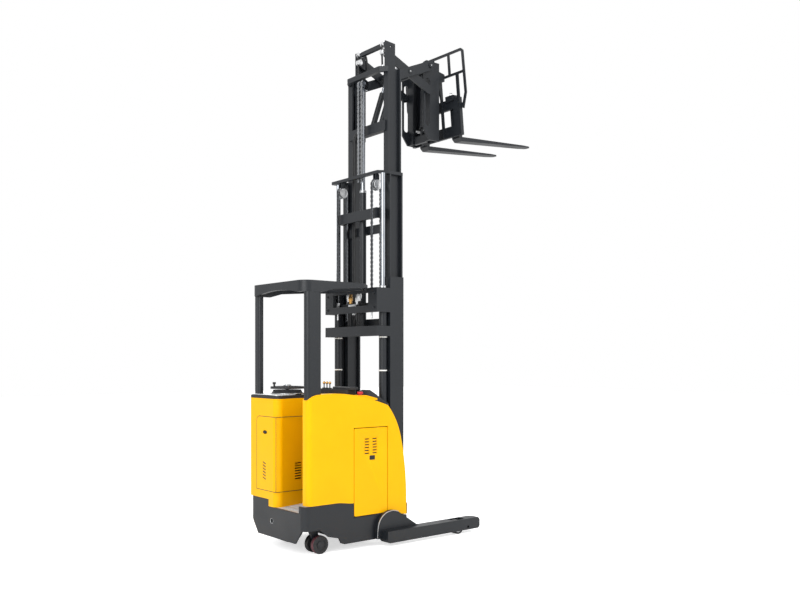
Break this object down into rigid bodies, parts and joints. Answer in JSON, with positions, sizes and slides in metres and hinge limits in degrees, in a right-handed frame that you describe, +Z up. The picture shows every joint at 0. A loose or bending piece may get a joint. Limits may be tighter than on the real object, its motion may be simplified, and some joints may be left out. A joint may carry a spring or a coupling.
{
  "type": "reach truck",
  "caption": "Stand-on reach truck: boxed body with operator bay, straddle legs, nested mast raised part way, scissor reach, tilting fork carriage with load backrest and forks.",
  "frame": {"origin": "on the floor, under the centre of the overall length and width", "axes": "+X forward along the forks, +Y to the left, +Z up"},
  "size_m": [2.8548, 1.08, 4.4765],
  "materials": {
    "yellow": "satin",
    "dark_paint": "satin",
    "black_plastic": "matte",
    "red_plastic": "gloss",
    "rod_chrome": "polished",
    "steel": "machined",
    "chain_steel": "oiled",
    "cast": "painted",
    "tread": "matte",
    "roller_tread": "matte",
    "floor_plate": "satin"
  },
  "bodies": {
    "chassis": {"chassis_skirt": "yellow", "bay_floor": "floor_plate", "bulkhead": "dark_paint", "battery": "black_plastic", "drive_cover": "yellow", "console": "yellow", "side_panel_right": "yellow", "side_panel_left": "yellow", "top_deck": "yellow", "corner_cowl": "black_plastic", "control_pod": "black_plastic", "stop_button": "red_plastic", "guard_roof": "dark_paint", "guard_posts": "dark_paint", "mast_outer": "dark_paint", "mast_mount_frame": "dark_paint", "leg_right": "dark_paint", "leg_left": "dark_paint", "wheel_plate": "dark_paint", "lift_barrels": "dark_paint"},
    "steering_wheel": {"steering_wheel": "black_plastic"},
    "service_door": {"service_door": "yellow"},
    "drive_unit": {"drive_unit": "cast"},
    "drive_wheel": {"drive_wheel": "tread"},
    "caster_yoke": {"caster_yoke": "dark_paint"},
    "caster_wheels": {"caster_wheels": "roller_tread"},
    "load_wheel_right": {"load_wheel_right": "roller_tread"},
    "load_wheel_left": {"load_wheel_left": "roller_tread"},
    "middle_stage": {"mast_middle": "dark_paint", "lift_rods": "rod_chrome", "middle_chain_wheels": "steel", "middle_chains": "chain_steel"},
    "inner_stage": {"mast_inner": "dark_paint", "free_barrel": "dark_paint"},
    "crosshead": {"free_rod": "rod_chrome", "free_chains": "chain_steel"},
    "carriage": {"lift_carriage": "dark_paint"},
    "reach_barrel": {"reach_barrels": "dark_paint"},
    "reach_rod": {"reach_rods": "rod_chrome"},
    "inner_arms": {"inner_arms": "dark_paint"},
    "outer_arms": {"outer_arms": "dark_paint"},
    "reach_frame": {"reach_frame": "dark_paint", "tilt_cylinder": "dark_paint"},
    "fork_carriage": {"fork_carriage": "dark_paint", "backrest": "dark_paint", "fork_right": "dark_paint", "fork_left": "dark_paint"}
  },
  "joints": [
    {"name": "drive_steer", "type": "hinge", "parent": "chassis", "child": "drive_unit", "pos_m": [-1.17745, 0.19, 0.29], "axis": [0, 0, 1], "range_deg": [-90, 90]},
    {"name": "drive_roll", "type": "hinge", "parent": "drive_unit", "child": "drive_wheel", "pos_m": [-1.17745, 0.19, 0.125], "axis": [0, 1, 0], "continuous": true},
    {"name": "wheel_turn", "type": "hinge", "parent": "chassis", "child": "steering_wheel", "pos_m": [-1.18745, 0.205, 1.32], "axis": [0, 0, 1], "range_deg": [-360, 360]},
    {"name": "caster_swivel", "type": "hinge", "parent": "chassis", "child": "caster_yoke", "pos_m": [-1.27744, -0.318, 0.205], "axis": [0, 0, 1], "continuous": true},
    {"name": "caster_roll", "type": "hinge", "parent": "caster_yoke", "child": "caster_wheels", "pos_m": [-1.23944, -0.318, 0.075], "axis": [0, 1, 0], "continuous": true},
    {"name": "load_roll_right", "type": "hinge", "parent": "chassis", "child": "load_wheel_right", "pos_m": [0.17255, -0.485, 0.062], "axis": [0, 1, 0], "continuous": true},
    {"name": "load_roll_left", "type": "hinge", "parent": "chassis", "child": "load_wheel_left", "pos_m": [0.17255, 0.485, 0.062], "axis": [0, 1, 0], "continuous": true},
    {"name": "door_swing", "type": "hinge", "parent": "chassis", "child": "service_door", "pos_m": [-0.92944, -0.423, 0.6], "axis": [0, 0, -1], "range_deg": [0, 100]},
    {"name": "middle_lift", "type": "slide", "parent": "chassis", "child": "middle_stage", "axis": [0, 0, 1], "range_m": [-0.88, 0.62]},
    {"name": "inner_lift", "type": "slide", "parent": "middle_stage", "child": "inner_stage", "axis": [0, 0, 1], "range_m": [-0.88, 0.62]},
    {"name": "carriage_lift", "type": "slide", "parent": "inner_stage", "child": "carriage", "axis": [0, 0, 1], "range_m": [-1.76, 0]},
    {"name": "crosshead_lift", "type": "slide", "parent": "inner_stage", "child": "crosshead", "axis": [0, 0, 1], "range_m": [-0.88, 0]},
    {"name": "reach_fold", "type": "hinge", "parent": "carriage", "child": "inner_arms", "pos_m": [-0.38244, 0, 4.314], "axis": [0, 1, 0], "range_deg": [-8.5, 48.5]},
    {"name": "scissor_cross", "type": "hinge", "parent": "inner_arms", "child": "outer_arms", "pos_m": [-0.13245, 0, 4.2053], "axis": [0, 1, 0], "range_deg": [-97, 17]},
    {"name": "frame_level", "type": "hinge", "parent": "outer_arms", "child": "reach_frame", "pos_m": [0.11754, 0, 4.314], "axis": [0, 1, 0], "range_deg": [-8.5, 48.5]},
    {"name": "fork_tilt", "type": "hinge", "parent": "reach_frame", "child": "fork_carriage", "pos_m": [0.29754, 0, 4.25], "axis": [0, 1, 0], "range_deg": [0, 8.4]},
    {"name": "reach_cylinder_swing", "type": "hinge", "parent": "carriage", "child": "reach_barrel", "pos_m": [-0.37544, 0, 3.66], "axis": [0, 1, 0], "range_deg": [-11.22, 2.01]},
    {"name": "reach_rod_stroke", "type": "slide", "parent": "reach_barrel", "child": "reach_rod", "axis": [0.3252, 0, 0.9456], "range_m": [-0.1509, 0.0273]}
  ],
  "couplings": [
    {"joint": "wheel_turn", "follows": "drive_steer", "ratio": 4},
    {"joint": "inner_lift", "follows": "middle_lift", "ratio": 1},
    {"joint": "crosshead_lift", "follows": "carriage_lift", "ratio": 0.5},
    {"joint": "scissor_cross", "follows": "reach_fold", "ratio": -2},
    {"joint": "frame_level", "follows": "reach_fold", "ratio": 1},
    {"joint": "reach_cylinder_swing", "follows": "reach_fold", "ratio": -0.23035},
    {"joint": "reach_rod_stroke", "follows": "reach_fold", "m_per_rad": -0.17709}
  ]
}
